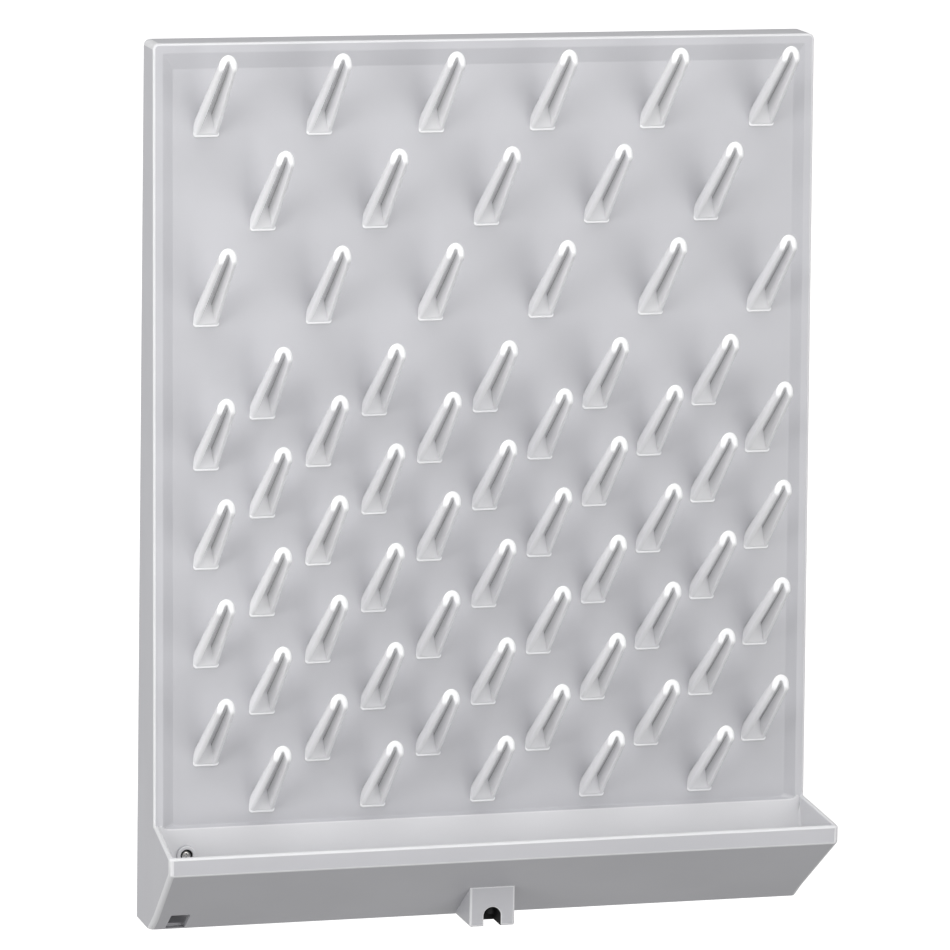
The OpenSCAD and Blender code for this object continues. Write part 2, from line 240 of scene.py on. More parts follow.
def sharp(where, least=20, most=181, valleys=False, along_y=False):
    """Selects the edges whose ends pass where(x, y, z) and whose faces meet at an angle
    in that range, only on ridges or in valleys too, and only along y if asked."""
    bpy.ops.mesh.select_mode(type="EDGE")
    bpy.ops.mesh.select_all(action="DESELECT")
    data = bpy.context.object.data
    work = bmesh.from_edit_mesh(data)
    for edge in work.edges:
        start, end = (corner.co for corner in edge.verts)
        turn = math.degrees(edge.calc_face_angle(0))
        if (
            least < turn < most
            and (edge.is_convex or valleys)
            and (abs(end.y - start.y) > LOOSE * 0.001 or not along_y)
            and all(where(*(c * 1000 for c in corner)) for corner in (start, end))
        ):
            edge.select_set(True)
    bmesh.update_edit_mesh(data)


def anywhere(x, y, z):
    """For choosing everything."""
    return True


def cut(point, normal, clear=True):
    """Cuts everything by a plane, and clears what lies on the side of its normal."""
    bpy.ops.mesh.select_all(action="SELECT")
    bpy.ops.mesh.bisect(
        plane_co=mm(*point),
        plane_no=normal,
        clear_outer=clear,
        use_fill=clear,
        threshold=1e-6,
    )


def swell(x=1, y=1, z=1, about=(0, 0, 0)):
    """Scales what is selected about a point."""
    bpy.ops.transform.resize(value=(x, y, z), center_override=mm(*about))


def pull(x=0, y=0, z=0):
    """Extrudes what is selected."""
    bpy.ops.mesh.extrude_region_move(TRANSFORM_OT_translate={"value": mm(x, y, z)})


def inset(width):
    """Insets the selected faces."""
    bpy.ops.mesh.inset(thickness=width * 0.001)


def fillet(radius, steps=4, clamp=True):
    """Rounds the selected edges. For square edges the radius is the cut's width."""
    bpy.ops.mesh.bevel(
        offset=radius * 0.001, segments=steps, affect="EDGES", clamp_overlap=clamp
    )


def widen(by):
    """Moves every corner outwards along x by by(y, z)."""
    data = bpy.context.object.data
    work = bmesh.from_edit_mesh(data)
    for corner in work.verts:
        x, y, z = (c * 1000 for c in corner.co)
        corner.co.x += math.copysign(by(y, z) / 1000, x)
    bmesh.update_edit_mesh(data)


def paint(where):
    """Gives the faces whose centres pass where(x, y, z) the piece's second finish."""
    data = bpy.context.object.data
    work = bmesh.from_edit_mesh(data)
    for face in work.faces:
        if where(*(c * 1000 for c in face.calc_center_median())):
            face.material_index = 1
    bmesh.update_edit_mesh(data)


def clean(degrees=0.02, weld=0.001):
    """Merges doubled corners, and flat neighbours into whole faces."""
    bpy.ops.mesh.select_all(action="SELECT")
    bpy.ops.mesh.remove_doubles(threshold=weld * 0.001)
    bpy.ops.mesh.dissolve_limited(angle_limit=math.radians(degrees))


def carve(piece, tool, operation="DIFFERENCE"):
    """Takes the tool out of the piece, or joins it on, and deletes the tool."""
    take(piece)
    step = piece.modifiers.new(tool.name, "BOOLEAN")
    step.object, step.operation, step.solver = tool, operation, "EXACT"
    bpy.ops.object.modifier_apply(modifier=step.name)
    bpy.data.objects.remove(tool)
    bpy.ops.object.mode_set(mode="EDIT")


def join(piece, *others):
    """Makes one object of them. The others take the piece's finish if they have none."""
    for other in others:
        if piece.data.materials and not other.data.materials:
            other.data.materials.append(piece.data.materials[0])
    take(piece, *others)
    bpy.ops.object.join()
    return piece


def copy_of(piece):
    """A copy with its own mesh."""
    twin = piece.copy()
    twin.data = piece.data.copy()
    bpy.context.collection.objects.link(twin)
    return twin


def move(piece, x=0, y=0, z=0):
    """Moves a piece's mesh, so that its object stays at the origin."""
    take(piece)
    bpy.ops.transform.translate(value=mm(x, y, z))
    bpy.ops.object.transform_apply(location=True, rotation=False, scale=False)


def set_down(piece, turn, at):
    """Tips a piece about the x axis and sets it down there, all in its mesh."""
    take(piece)
    piece.rotation_euler = (turn, 0, 0)
    piece.location = mm(*at)
    bpy.ops.object.transform_apply(location=True, rotation=True, scale=True)
    return piece


def smooth(piece, degrees=32):
    """Smooth fillets next to flat walls: the normals lean towards the large faces."""
    take(piece)
    bpy.ops.object.shade_smooth_by_angle(angle=math.radians(degrees))
    step = piece.modifiers.new("flat walls", "WEIGHTED_NORMAL")
    step.keep_sharp = True
    step.weight = 100
    bpy.ops.object.modifier_apply(modifier=step.name)


def mark_edges(piece, painted_light_where=None):
    """Marks the narrow faces of the fillets, for the finish to paint highlights on them as
    paler edges, and the faces that the second argument picks, which it paints paler as
    painted light."""
    work = bmesh.new()
    work.from_mesh(piece.data)
    marks = []
    for face in work.faces:
        longest = max(edge.calc_length() for edge in face.edges)
        turns = [
            math.degrees(edge.calc_face_angle(0))
            for edge in face.edges
            if edge.is_convex and edge.calc_length() > longest * LONG_SHARE
        ]
        narrow = face.calc_area() < EDGE_WIDTH * 0.001 * longest
        round_edge = any(EDGE_TURN_LEAST < turn < EDGE_TURN_MOST for turn in turns)
        mark = float(narrow and round_edge)
        # The faces that the second argument picks are painted paler, as painted light.
        if painted_light_where and painted_light_where(*(c * 1000 for c in face.calc_center_median())):
            mark = max(mark, TROUGH_PAINTED_LIGHT)
        marks.append(mark)
    work.free()
    layer = piece.data.attributes.new("painted_light", "FLOAT", "FACE")
    layer.data.foreach_set("value", marks)


# ---------------------------------------------------------------- the housing


def crossing(p, u, q, v):
    """Where the line through p along u meets the line through q along v."""
    t = ((q[0] - p[0]) * v[1] - (q[1] - p[1]) * v[0]) / (u[0] * v[1] - u[1] * v[0])
    return (p[0] + u[0] * t, p[1] + u[1] * t)


# Seen from the side as (y, z): the ways in which the skirt, the trough's back wall and
# the board run, and the points where the trough's inner faces meet.
skirt_angle = math.atan2(LIP_LOW, SKIRT_Y - LIP_Y)
skirt_way = (-math.cos(skirt_angle), math.sin(skirt_angle))
back_way = (math.sin(BACK_SLANT), math.cos(BACK_SLANT))
lean_way = (math.sin(LEAN), math.cos(LEAN))
foot = (board_y(FOOT_Z), FOOT_Z)
shoulder = (front_y(RIM_Z), RIM_Z)
skirt_in = (SKIRT_Y, WALL / math.cos(skirt_angle))
lip_in = LIP_Y + WALL
skirt_at_lip = crossing((lip_in, 0), (0, 1), skirt_in, skirt_way)
gutter_v = crossing(shoulder, back_way, skirt_in, skirt_way)
gutter_angle = math.pi / 2 - skirt_angle + BACK_SLANT
gutter_run = GUTTER_R / math.tan(gutter_angle / 2)
flare_y = shoulder[0] - FLARE_START
rim_fall = (RIM_Z - LIP_TOP) / (shoulder[0] - LIP_Y)


def back_y(z):
    """How far out the trough's back wall lies at that height."""
    return shoulder[0] - (shoulder[1] - z) * math.tan(BACK_SLANT)


def flare(y):
    """How far each end of the trough stands out sideways at that depth."""
    return FLARE * max(flare_y - y, 0) / (flare_y - LIP_Y)


def off_board(up, out):
    """The (y, z) of a point so far up the board and so far out from its face."""
    return (
        foot[0] + up * lean_way[0] - out * lean_way[1],
        foot[1] + up * lean_way[1] + out * lean_way[0],
    )


def lean(piece):
    """Sets a piece drawn upright on the leaning board, from the board's foot."""
    return set_down(piece, -LEAN, (0, *foot))


def on_rim(y, z):
    """Whether a point lies on the trough's rim, seen from the side."""
    return y < shoulder[0] + 2 * NEAR and abs(z - LIP_TOP - (y - LIP_Y) * rim_fall) < NEAR


def in_trough(x, y, z):
    """Whether the centre of a face puts it among the trough's inner faces."""
    slack, back_slack = 0.3, 0.4
    up = (y - skirt_in[0]) * math.sin(skirt_angle) + (z - skirt_in[1]) * math.cos(skirt_angle)
    return (
        abs(x) < HALF_WIDTH - WALL + flare(y) + slack
        and lip_in - slack < y < back_y(z) + back_slack
        and up > -slack
        and z < RIM_Z - LOOSE
    )


def spread():
    """Widens the open form towards the lip, from just in front of the frame."""
    cut((0, flare_y, 0), (0, 1, 0), clear=False)
    widen(lambda y, z: flare(y))


def outer_form():
    """The housing's outside, with its edges rounded and nothing hollow yet."""
    outline = [
        (0, 0),
        (SKIRT_Y, 0),
        (LIP_Y, LIP_LOW),
        (LIP_Y, LIP_TOP),
        shoulder,
        (front_y(HEIGHT), HEIGHT),
        (0, HEIGHT),
    ]
    form = prism("housing", outline, -HALF_WIDTH, HALF_WIDTH)
    spread()
    clean(degrees=0.05)
    side_x = HALF_WIDTH - LOOSE
    for side in (-1, 1):
        # The top corners, seen from the front.
        choose("EDGE", lambda x, y, z: side * x > side_x and z > HEIGHT - LOOSE)
        fillet(TOP_CORNER_R, steps=6)
        # The ends of the lip and of the sloping skirt are rounded more than the rest.
        sharp(
            lambda x, y, z: side * x > side_x and y < SKIRT_Y + LOOSE and z < LIP_TOP + LOOSE
        )
        fillet(END_CORNER_R, steps=5)
    # The rest of the outer edges that face the front.
    sharp(
        lambda x, y, z: on_rim(y, z) or (z > RIM_Z - NEAR and abs(y - front_y(z)) < NEAR)
    )
    fillet(FRONT_EDGE_R)
    # The lip's lower edge and the skirt's.
    sharp(lambda x, y, z: abs(z - LIP_LOW) < LOOSE and y < LIP_Y + 1.2 * LOOSE)
    fillet(LIP_EDGE_R, steps=3)
    sharp(lambda x, y, z: z < NEAR and abs(y - SKIRT_Y) < 2 * LOOSE)
    fillet(SKIRT_EDGE_R, steps=3)
    return form


def front_hollow():
    """What is hollow at the front: the board's pocket and the trough below it."""
    # The pocket's form stands out of the frame's front plane, and so does the trough's.
    tall, open_z = RECESS + 1.1 * OUT, RIM_Z + 27 * OUT
    top = (HEIGHT - FOOT_Z) / math.cos(LEAN) - BAND - TOP_BEVEL
    inner_x = HALF_WIDTH - BAND - SIDE_BEVEL
    outline = [
        off_board(FOOT_RISE, 0),
        (back_y(SILL_Z), SILL_Z),
        off_board(0, tall),
        off_board(top + TOP_BEVEL * tall / RECESS, tall),
        off_board(top, 0),
    ]
    pocket = prism("pocket", outline, -inner_x, inner_x)

    def bevel(y, z):
        """How far the bevel at each side stands outwards from the board's edge."""
        out = (foot[0] - y) * math.cos(LEAN) + (z - foot[1]) * math.sin(LEAN)
        return SIDE_BEVEL * out / RECESS

    widen(bevel)
    # The pocket's lower corners are rounded, seen from the front.
    for side in (-1, 1):
        sharp(
            lambda x, y, z: side * x > inner_x - LOOSE
            and SILL_Z - LOOSE < z < FOOT_Z + 2 * LOOSE
            and y > back_y(SILL_Z) - NEAR
        )
        fillet(POCKET_CORNER_R, clamp=False)
    # The trough opens at half a right angle in front of the rim's shoulder.
    end_x = HALF_WIDTH - WALL
    outline = [
        gutter_v,
        skirt_at_lip,
        (lip_in, open_z),
        (shoulder[0] - (open_z - RIM_Z), open_z),
        shoulder,
    ]
    hollow = prism("trough", outline, -end_x, end_x)
    spread()
    choose("EDGE", lambda x, y, z: abs(y - gutter_v[0]) < LOOSE and z < FOOT_Z / 2)
    fillet(gutter_run, steps=8)
    for side in (-1, 1):
        sharp(
            lambda x, y, z: side * x > end_x - LOOSE / 2
            and (z < RIM_Z - LOOSE or y < lip_in + LOOSE)
        )
        fillet(TROUGH_CORNER_R)
    carve(hollow, pocket, "UNION")
    return hollow


def gutter_underside(steps=6):
    """The round underside of the gutter, from the back wall down to the skirt."""
    way = (back_way[0] + skirt_way[0], back_way[1] + skirt_way[1])
    reach = GUTTER_R / math.sin(gutter_angle / 2) / math.hypot(*way)
    centre = (gutter_v[0] + way[0] * reach, gutter_v[1] + way[1] * reach)
    round_r = GUTTER_R + WALL
    first = -BACK_SLANT
    square = math.atan2(-math.cos(skirt_angle), -math.sin(skirt_angle))
    last = square + math.acos(GUTTER_R / round_r)
    turns = [first + (last - first) * step / steps for step in range(steps + 1)]
    return [
        (centre[0] + round_r * math.cos(turn), centre[1] + round_r * math.sin(turn))
        for turn in turns
    ]


def back_hollow():
    """The open hollow behind the board and the trough."""
    back_off = (
        shoulder[0] + WALL * math.cos(BACK_SLANT),
        shoulder[1] - WALL * math.sin(BACK_SLANT),
    )
    board_off = off_board(0, -WALL)
    knee = crossing(back_off, back_way, board_off, lean_way)
    sill = crossing((0, WALL), (1, 0), skirt_in, skirt_way)
    ceiling = crossing((0, HEIGHT - WALL), (1, 0), board_off, lean_way)
    outline = [
        (2 * OUT, WALL),
        sill,
        *reversed(gutter_underside()),
        knee,
        ceiling,
        (2 * OUT, HEIGHT - WALL),
    ]
    return prism("back hollow", outline, WALL - HALF_WIDTH, HALF_WIDTH - WALL)


def round_rim():
    """Rounds the inner edges of the trough's mouth, once the hollow is out."""
    sharp(
        lambda x, y, z: on_rim(y, z)
        and (abs(x) < HALF_WIDTH + 0.9 * LOOSE or y < lip_in + 3 * LOOSE)
    )
    fillet(RIM_EDGE_R, steps=3, clamp=False)


def hose_notch():
    """The opening at the lower left through which a hose can leave."""
    low = (NOTCH_LEFT, LIP_Y - 1.5 * OUT, NOTCH_LOW)
    notch = block("hose notch", low, (NOTCH_RIGHT, SKIRT_Y + WALL, NOTCH_TOP))
    sharp(anywhere)
    fillet(NOTCH_EDGE_R, steps=2)
    return notch


def drain_block():
    """The block below the trough, with an arch for the hose that fits the spigot."""
    overlap = 0.5
    skirt_z = (DRAIN_Y - SKIRT_Y) * -math.tan(skirt_angle)
    outline = [
        (SKIRT_Y, 0),
        (DRAIN_Y, 0),
        (DRAIN_Y, skirt_z + overlap),
        (SKIRT_Y, skirt_in[1] + overlap),
    ]
    drain = prism("drain block", outline, -DRAIN_HALF, DRAIN_HALF)

    def outer_edge(x, y, z):
        """Whether a point lies on two of the block's sides, front and underside."""
        at_side, in_front = abs(x) > DRAIN_HALF - NEAR, y < DRAIN_Y + NEAR
        return (in_front and at_side) or (at_side and z < NEAR) or (in_front and z < NEAR)

    sharp(outer_edge, least=60)
    fillet(DRAIN_EDGE_R)
    half, round_z, end_y = ARCH_W / 2, ARCH_H - ARCH_W / 2, DRAIN_Y + ARCH_LEN
    arch = block("arch", (-half, DRAIN_Y - OUT, -OUT), (half, end_y, round_z))
    middle_y = DRAIN_Y + (ARCH_LEN - OUT) / 2
    vault = rod("arch top", (0, middle_y, round_z), half, ARCH_LEN + OUT, ALONG_Y, sides=64)
    carve(arch, vault, "UNION")
    well = rod("well", (0, DRAIN_Y + ARCH_LEN / 2, ARCH_H / 2), half - NEAR, ARCH_H)
    carve(arch, well, "UNION")
    carve(drain, arch)
    clean()
    sharp(
        lambda x, y, z: y < DRAIN_Y + NEAR / 2 and abs(x) < half + NEAR and z < ARCH_H + NEAR,
        least=50,
    )
    fillet(ARCH_EDGE_R, steps=3, clamp=False)
    # The faces inside the arch, from behind its rounded front edge to the spigot, are painted
    # black.
    paint(
        lambda x, y, z: abs(x) < half + NEAR
        and DRAIN_Y + ARCH_EDGE_R + NEAR / 2 < y < end_y + NEAR
        and NEAR / 2 < z < ARCH_H + NEAR
    )
    drain.data.materials.append(satin)
    drain.data.materials.append(black)
    return drain


def spigot():
    """The short tube in the drain block's well."""
    centre = (0, DRAIN_Y + ARCH_LEN / 2, ARCH_H + (SPIGOT_ROOT - SPIGOT_LEN) / 2)
    low_z = ARCH_H - SPIGOT_LEN + NEAR
    tube = rod("spigot", centre, SPIGOT_R, SPIGOT_LEN + SPIGOT_ROOT)
    choose("FACE", lambda x, y, z: z < low_z)
    inset(SPIGOT_WALL)
    pull(z=2 * SPIGOT_LEN)
    choose("EDGE", lambda x, y, z: z < low_z)
    fillet(SPIGOT_EDGE_R, steps=2)
    tube.data.materials.append(black)
    return tube


def screw_tube():
    """The tube from the trough to the wall that carries the screw, with its collar."""
    collar_y = back_y(SCREW_Z) - COLLAR_REACH
    centre = (SCREW_X, collar_y / 2, SCREW_Z)
    tube = rod("screw tube", centre, COLLAR_R, -collar_y, ALONG_Y, sides=64)
    choose("FACE", lambda x, y, z: y < collar_y + NEAR)
    inset(COLLAR_R - POCKET_R)
    pull(y=SEAT_Y - collar_y)
    inset(POCKET_R - BORE_R)
    pull(y=BORE_LEN)
    sharp(lambda x, y, z: y < collar_y + NEAR)
    fillet(COLLAR_EDGE_R, steps=3)
    return tube


def tube_web():
    """The web that ties the screw's tube to the trough, cut back at the hose notch."""
    low = (SCREW_X - WEB_HALF, WEB_FRONT, WALL / 2)
    web = block("web", low, (SCREW_X + WEB_HALF, -OUT, SCREW_Z))
    middle = (0, shoulder[0] + WALL / 2, shoulder[1])
    cut(middle, (0, -math.cos(BACK_SLANT), math.sin(BACK_SLANT)))
    cut((0, SKIRT_Y, WALL / 2), (0, -math.sin(skirt_angle), -math.cos(skirt_angle)))
    low = (ROOM_LEFT, LIP_Y - 1.5 * OUT, 0)
    carve(web, block("room", low, (ROOM_RIGHT, ROOM_BACK, ROOM_TOP)))
    return web


def sleeve():
    """The socket behind the board that a peg's tenon plugs into."""
    high = TENON_H + 2 * SOCKET_GAP + 2 * SLEEVE_WALL
    low = TENON_UP - SOCKET_GAP - SLEEVE_WALL
    half = TENON_W / 2 + SOCKET_GAP + SLEEVE_WALL
    socket = block("sleeve", (-half, WALL / 2, low), (half, SLEEVE_END, low + high))
    sharp(anywhere, along_y=True)
    fillet(SLEEVE_EDGE_R, steps=3)
    choose("FACE", lambda x, y, z: y > SLEEVE_END - NEAR)
    inset(SLEEVE_WALL)
    pull(y=WALL + NEAR - SLEEVE_END)
    return socket


def rib(x):
    """An upright rib that stiffens the board from behind."""
    end_y = WALL + RIB_DEEP
    strip = block("rib", (x - RIB_HALF, WALL / 2, RIB_LOW), (x + RIB_HALF, end_y, RIB_TOP))
    sharp(lambda x, y, z: y > end_y - NEAR)
    fillet(RIB_EDGE_R, steps=2)
    return strip


def hanger(x):
    """A plate level with the wall, with a keyhole to hang the rack by."""
    plate = block(
        "hanger", (x - HANGER_HALF, -WALL, HANGER_LOW), (x + HANGER_HALF, 0, HEIGHT - WALL / 2)
    )
    sharp(lambda x, y, z: z < HANGER_LOW + NEAR, along_y=True)
    fillet(HANGER_CORNER_R)
    entry = rod("entry", (x, -WALL / 2, KEYHOLE_Z), KEYHOLE_R, 3 * WALL, ALONG_Y)
    slot = block(
        "slot",
        (x - KEYWAY_HALF, -2 * WALL, KEYHOLE_Z),
        (x + KEYWAY_HALF, WALL, KEYHOLE_Z + KEYWAY_RISE),
    )
    sharp(lambda x, y, z: z > KEYHOLE_Z + KEYWAY_RISE - NEAR, along_y=True)
    fillet(KEYWAY_HALF - NEAR / 10, steps=8, clamp=False)
    carve(entry, slot, "UNION")
    carve(plate, entry)
    return plate


def row_up(row):
    """How far up the board a row stands. Row 0 is the top one."""
    close_rows = ROWS - 1 - WIDE_ROWS
    close = min(ROWS - 1 - row, close_rows) * ROW_PITCH
    return FIRST_ROW_UP + close + max(WIDE_ROWS - row, 0) * WIDE_PITCH


def row_places(row):
    """The x of each peg in a row. Every second row has one peg fewer."""
    count = FULL_ROW - row % 2
    return [(i - (count - 1) / 2) * PITCH for i in range(count)]


def make_housing():
    """The moulding: outer form, hollows, drain, screw tube, hangers, ribs and sleeves."""
    form = outer_form()
    form.data.materials.append(satin)
    form.data.materials.append(black)
    carve(form, front_hollow())
    clean(weld=0.06)
    # The pocket's bevels and the board's foot have soft edges too.
    sharp(
        lambda x, y, z: abs(x) < HALF_WIDTH - WALL - NEAR
        and FOOT_Z - 2.5 * LOOSE < z < HEIGHT - BAND + LOOSE
        and y > front_y(z) - 3 * LOOSE,
        least=8,
        most=120,
        valleys=True,
    )
    fillet(POCKET_EDGE_R, steps=2, clamp=False)
    round_rim()
    carve(form, back_hollow())
    carve(form, hose_notch())
    carve(form, drain_block(), "UNION")
    clean(weld=0.01)
    fixed = [screw_tube(), tube_web(), spigot(), hanger(-KEYHOLE_X), hanger(KEYHOLE_X)]
    leaning = [rib(side * PITCH * RIB_STEPS) for side in (-1, 1)]
    first = sleeve()
    for row in range(ROWS):
        for x in row_places(row):
            twin = copy_of(first)
            move(twin, x, 0, row_up(row))
            leaning.append(twin)
    bpy.data.objects.remove(first)
    return join(form, *fixed, *[lean(piece) for piece in leaning])


# ---------------------------------------------------------------- the pegs


def tapered_arch(name, length, root, tip, root_z, tip_z, deep, root_open=None, tip_open=None):
    """An arch that narrows along the peg, open below: a cone with its sides drawn down,
    and spread where it is a groove, from its round top to its open edge."""
    slope = math.atan2(tip_z - root_z, length)
    run = length / math.cos(slope)
    # It runs past both ends, for the cuts that follow.
    spill = PEG_ROOT
    grow = (root - tip) / 2 / run * spill
    near, far = root / 2 + grow, tip / 2 - grow
    arch = rod(name, (0, 0, run / 2), near, run + 2 * spill, tip=far, sides=56)
    cut((0, 0, 0), (0, -1, 0))
    choose("FACE", lambda x, y, z: abs(y) < NEAR / 10)
    pull(y=-deep)
    if root_open:
        drift = (root_open - tip_open) / run * spill
        choose("VERT", lambda x, y, z: y < NEAR - deep and z < 0)
        swell(x=(root_open + drift) / near)
        choose("VERT", lambda x, y, z: y < NEAR - deep and z > run)
        swell(x=(tip_open - drift) / far)
    set_down(arch, math.pi / 2 - slope, (0, 0, root_z))
    edit(arch)
    return arch


def foot_plate():
    """The plate that a peg stands on, a little proud of it, with its edges rounded."""
    open_half = PEG_ROOT / 2 + FOOT_PROUD
    plate = tapered_arch(
        "foot plate",
        FOOT_PLATE,
        PEG_ROOT,
        PEG_ROOT,
        ROOT_LEG,
        ROOT_LEG,
        ROOT_LEG + FOOT_PROUD,
        open_half,
        open_half,
    )
    cut((0, 4 * OUT, 0), (0, 1, 0))
    cut((0, -FOOT_PLATE, 0), (0, -1, 0))
    sharp(lambda x, y, z: z < 0, least=60, along_y=True)
    fillet(FOOT_CORNER_R, steps=5)
    sharp(lambda x, y, z: y < NEAR / 2 - FOOT_PLATE and z < ROOT_LEG + NEAR, least=60)
    fillet(FOOT_EDGE_R, clamp=False)
    return plate


def tenon():
    """The split tenon behind a peg's foot, with a snap bead above and below."""
    low, high, end = TENON_UP, TENON_UP + TENON_H, BEAD_Y + BEAD_LEN
    slit_low, slit_high = low + TENON_H / 2 - SLIT_HALF, low + TENON_H / 2 + SLIT_HALF
    outline = [
        (-TENON_ROOT, low),
        (BEAD_Y, low),
        (BEAD_Y, low - BEAD_H),
        (end, low),
        (end, slit_low),
        (WALL, slit_low),
        (WALL, slit_high),
        (end, slit_high),
        (end, high),
        (BEAD_Y, high + BEAD_H),
        (BEAD_Y, high),
        (-TENON_ROOT, high),
    ]
    return prism("tenon", outline, -TENON_W / 2, TENON_W / 2)


def make_peg(length):
    """One peg: a sloping arch with a groove below, a foot and a split tenon."""
    tip_z = length * math.tan(PEG_RISE)
    peg = tapered_arch(
        "peg", length, PEG_ROOT, PEG_TIP, ROOT_LEG, tip_z + TIP_LEG, 2 * PEG_ROOT
    )
    cut((0, -length, 0), (0, -1, 0))
    cut((0, 0, 0), (0, -math.sin(PEG_RISE), -math.cos(PEG_RISE)))
    # The peg is well rounded along its lower edges and all round its end.
    sharp(
        lambda x, y, z: y < LOOSE - length or abs(z + y * math.tan(PEG_RISE)) < NEAR / 2,
        least=30,
    )
    fillet(PEG_EDGE_R, steps=5, clamp=False)
    carve(peg, foot_plate(), "UNION")
    clean(weld=0.02)
    cut((0, 0, 0), (0, 1, 0))
    groove = tapered_arch(
        "groove",
        length,
        GROOVE_ROOT,
        GROOVE_TIP,
        GROOVE_ROOT_Z,
        tip_z + GROOVE_TIP_Z,
        GROOVE_DEEP,
        GROOVE_ROOT_OPEN,
        GROOVE_TIP_OPEN,
    )
    cut((0, -FOOT_WALL, 0), (0, math.sin(RAMP), math.cos(RAMP)))
    carve(peg, groove)
    clean(weld=0.002)
    sharp(lambda x, y, z: y < -NEAR / 10, least=40)
    fillet(GROOVE_EDGE_R, steps=3, clamp=False)
    join(peg, tenon())
    mark_edges(peg)
    smooth(peg, 35)
    return peg


def make_row(row, short_peg, long_peg):
    """A row of pegs on the leaning board, each peg a loose part of one piece."""
    pegs = []
    for x in row_places(row):
        peg = copy_of(long_peg if row < WIDE_ROWS else short_peg)
        move(peg, x, 0, row_up(row))
        pegs.append(peg)
    return lean(join(*pegs))


# ---------------------------------------------------------------- the screw


def make_thread():
    """The threaded end of the screw: a crest and a root for each turn, and a point."""
    flank = THREAD_PITCH * THREAD_FLANK
    crest = THREAD_PITCH - 2 * flank
    start = SHANK_LEN + SHANK_OVERLAP
    thread = rod("thread", (0, 0, -start), SHANK_R, 2 * SHANK_OVERLAP, sides=32)
    choose("FACE", lambda x, y, z: z < NEAR - start - SHANK_OVERLAP)
    for turn in range(THREAD_TURNS):
        pull(z=-flank)
        swell(THREAD_CREST, THREAD_CREST)
        pull(z=-crest)
        pull(z=-flank)
        swell(1 / THREAD_CREST, 1 / THREAD_CREST)
    pull(z=-THREAD_POINT)
    swell(THREAD_TIP, THREAD_TIP)
    return thread


def dark_ring():
    """The black ring round the screw's head, in the collar's pocket."""
    ring = rod("dark ring", (0, 0, HEAD_H / 2), POCKET_R - RING_GAP, HEAD_H, sides=64)
    choose("EDGE", lambda x, y, z: z > HEAD_H - NEAR)
    fillet(RING_EDGE_R, clamp=False)
    ring.data.materials.append(black)
    carve(ring, rod("hole", (0, 0, HEAD_H / 2), HEAD_R + RING_GAP, 2 * HEAD_H, sides=64))
    return ring


def make_screw():
    """A pan-head screw with a cross recess, in the collar's pocket."""
    head = rod("collar_screw", (0, 0, HEAD_H / 2), HEAD_R, HEAD_H, sides=64)
    choose("EDGE", lambda x, y, z: z > HEAD_H - NEAR)
    fillet(HEAD_CROWN, steps=6, clamp=False)
    for turn in (0, math.pi / 2):
        low = (-CROSS_REACH, -CROSS_HALF, CROSS_FLOOR)
        arm = block("recess", low, (CROSS_REACH, CROSS_HALF, CROSS_TOP))
        choose("VERT", lambda x, y, z: z < CROSS_FLOOR + NEAR)
        swell(CROSS_TAPER_X, CROSS_TAPER_Y, about=(0, 0, CROSS_FLOOR))
        take(arm)
        arm.rotation_euler = (0, 0, turn)
        bpy.ops.object.transform_apply(location=False, rotation=True, scale=False)
        carve(head, arm)
    # The cross recess is painted black, as painted shade.
    in_cross = CROSS_REACH + NEAR / 2
    paint(lambda x, y, z: math.hypot(x, y) < in_cross and CROSS_FLOOR / 2 < z < HEAD_H - 3 * NEAR)
    head.data.materials.append(metal)
    head.data.materials.append(black)
    middle_z = (SHANK_OVERLAP - SHANK_LEN) / 2
    shank = rod("shank", (0, 0, middle_z), SHANK_R, SHANK_LEN + SHANK_OVERLAP, sides=32)
    join(head, shank, make_thread(), dark_ring())
    set_down(head, math.pi / 2, (SCREW_X, SEAT_Y, SCREW_Z))
    smooth(head, 40)
    return head


# ---------------------------------------------------------------- finishes

# The sockets of a Mix node that mixes two colours.
MIX_SHARE, MIX_FIRST, MIX_SECOND, MIX_RESULT = 0, 6, 7, 2


def linear(code):
    """A finish's sRGB hex code as linear light."""
    parts = [int(code[i : i + 2], 16) / 255 for i in (1, 3, 5)]
    return tuple(c / 12.92 if c <= 0.04045 else ((c + 0.055) / 1.055) ** 2.4 for c in parts) + (1,)


def add(tree, kind, settings=(), values=(), links=()):
    """Adds one node: its settings, its sockets' values, and the links into it."""
    node = tree.nodes.new(kind)
    for name, value in dict(settings).items():
        setattr(node, name, value)
    for name, value in dict(values).items():
        node.inputs[name].default_value = value
    for name, source in dict(links).items():
        tree.links.new(source, node.inputs[name])
    return node


def finish(name):
    """A new material's tree, empty, and the place on the piece where patterns start."""
    material = bpy.data.materials.new(name)
    material.use_nodes = True
    tree = material.node_tree
    tree.nodes.clear()
    return material, tree, add(tree, "ShaderNodeTexCoord").outputs["Object"]


